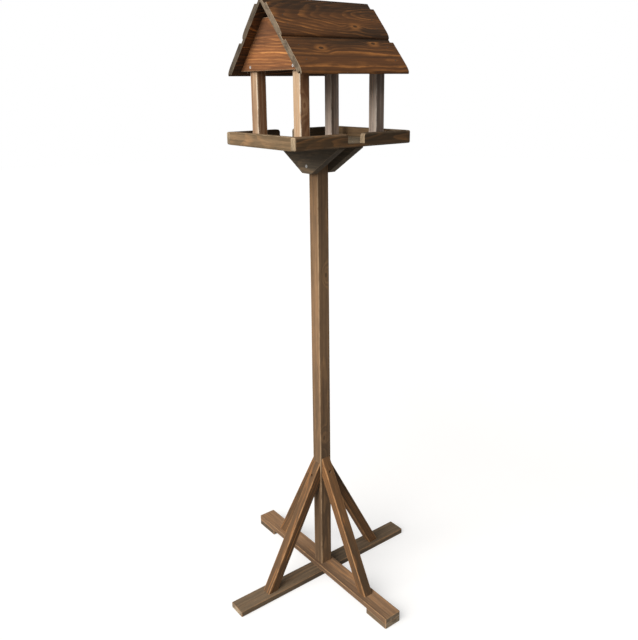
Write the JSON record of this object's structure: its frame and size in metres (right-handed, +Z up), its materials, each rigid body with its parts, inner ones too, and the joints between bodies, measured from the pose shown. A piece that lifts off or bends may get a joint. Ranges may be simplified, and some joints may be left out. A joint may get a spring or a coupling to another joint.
{
  "type": "bird feeder on pole",
  "caption": "Garden bird feeder: open tray with swept-out notches under a shiplap gable roof on uprights, carried by gussets on a square post with a braced cross foot.",
  "frame": {"origin": "on the ground, on the post's axis, at the bottom centre of the object's box", "axes": "+Z up the post, +X along the ridge and the lower plank, +Y across the ridge along the upper plank; -Y is the front long side and -X the left gable"},
  "size_m": [0.692, 0.692, 1.816],
  "materials": {
    "plank_pine": "flamed and oiled softwood",
    "brace_pine": "flamed and oiled softwood",
    "post_pine": "flamed and oiled softwood",
    "gusset_pine": "flamed and oiled softwood",
    "rail_pine": "flamed and oiled softwood",
    "floor_pine": "flamed and oiled softwood",
    "upright_pine": "flamed and oiled softwood",
    "gable_pine": "flamed and oiled softwood",
    "roof_pine": "flamed and oiled softwood",
    "bright_zinc": "bright zinc plated",
    "dark_steel": "stained over, dull"
  },
  "bodies": {
    "root": {"base_plank_lower": "plank_pine", "base_plank_upper": "plank_pine", "foot_block_front": "plank_pine", "foot_block_rear": "plank_pine", "post": "post_pine", "brace_left": "brace_pine", "brace_right": "brace_pine", "brace_front": "brace_pine", "brace_rear": "brace_pine", "gusset_left": "gusset_pine", "gusset_right": "gusset_pine", "tray_floor": "floor_pine", "rim_front": "rail_pine", "rim_rear": "rail_pine", "rim_left": "rail_pine", "rim_right": "rail_pine", "upright_front_left": "upright_pine", "upright_front_right": "upright_pine", "upright_rear_left": "upright_pine", "upright_rear_right": "upright_pine", "gable_left": "gable_pine", "gable_right": "gable_pine", "roof_front_upper": "roof_pine", "roof_front_lower": "roof_pine", "roof_rear_upper": "roof_pine", "roof_rear_lower": "roof_pine", "gable_screws": "bright_zinc", "gusset_bolt": "bright_zinc", "gusset_washer": "bright_zinc", "gusset_nut": "bright_zinc", "tray_screws": "bright_zinc", "upright_screws": "bright_zinc", "post_foot_screws": "bright_zinc", "crossing_screws": "bright_zinc", "brace_top_screws": "dark_steel", "brace_foot_screws": "bright_zinc", "foot_block_nails": "dark_steel", "roof_nails": "dark_steel", "rim_nails": "dark_steel", "floor_pins": "dark_steel"}
  },
  "joints": []
}
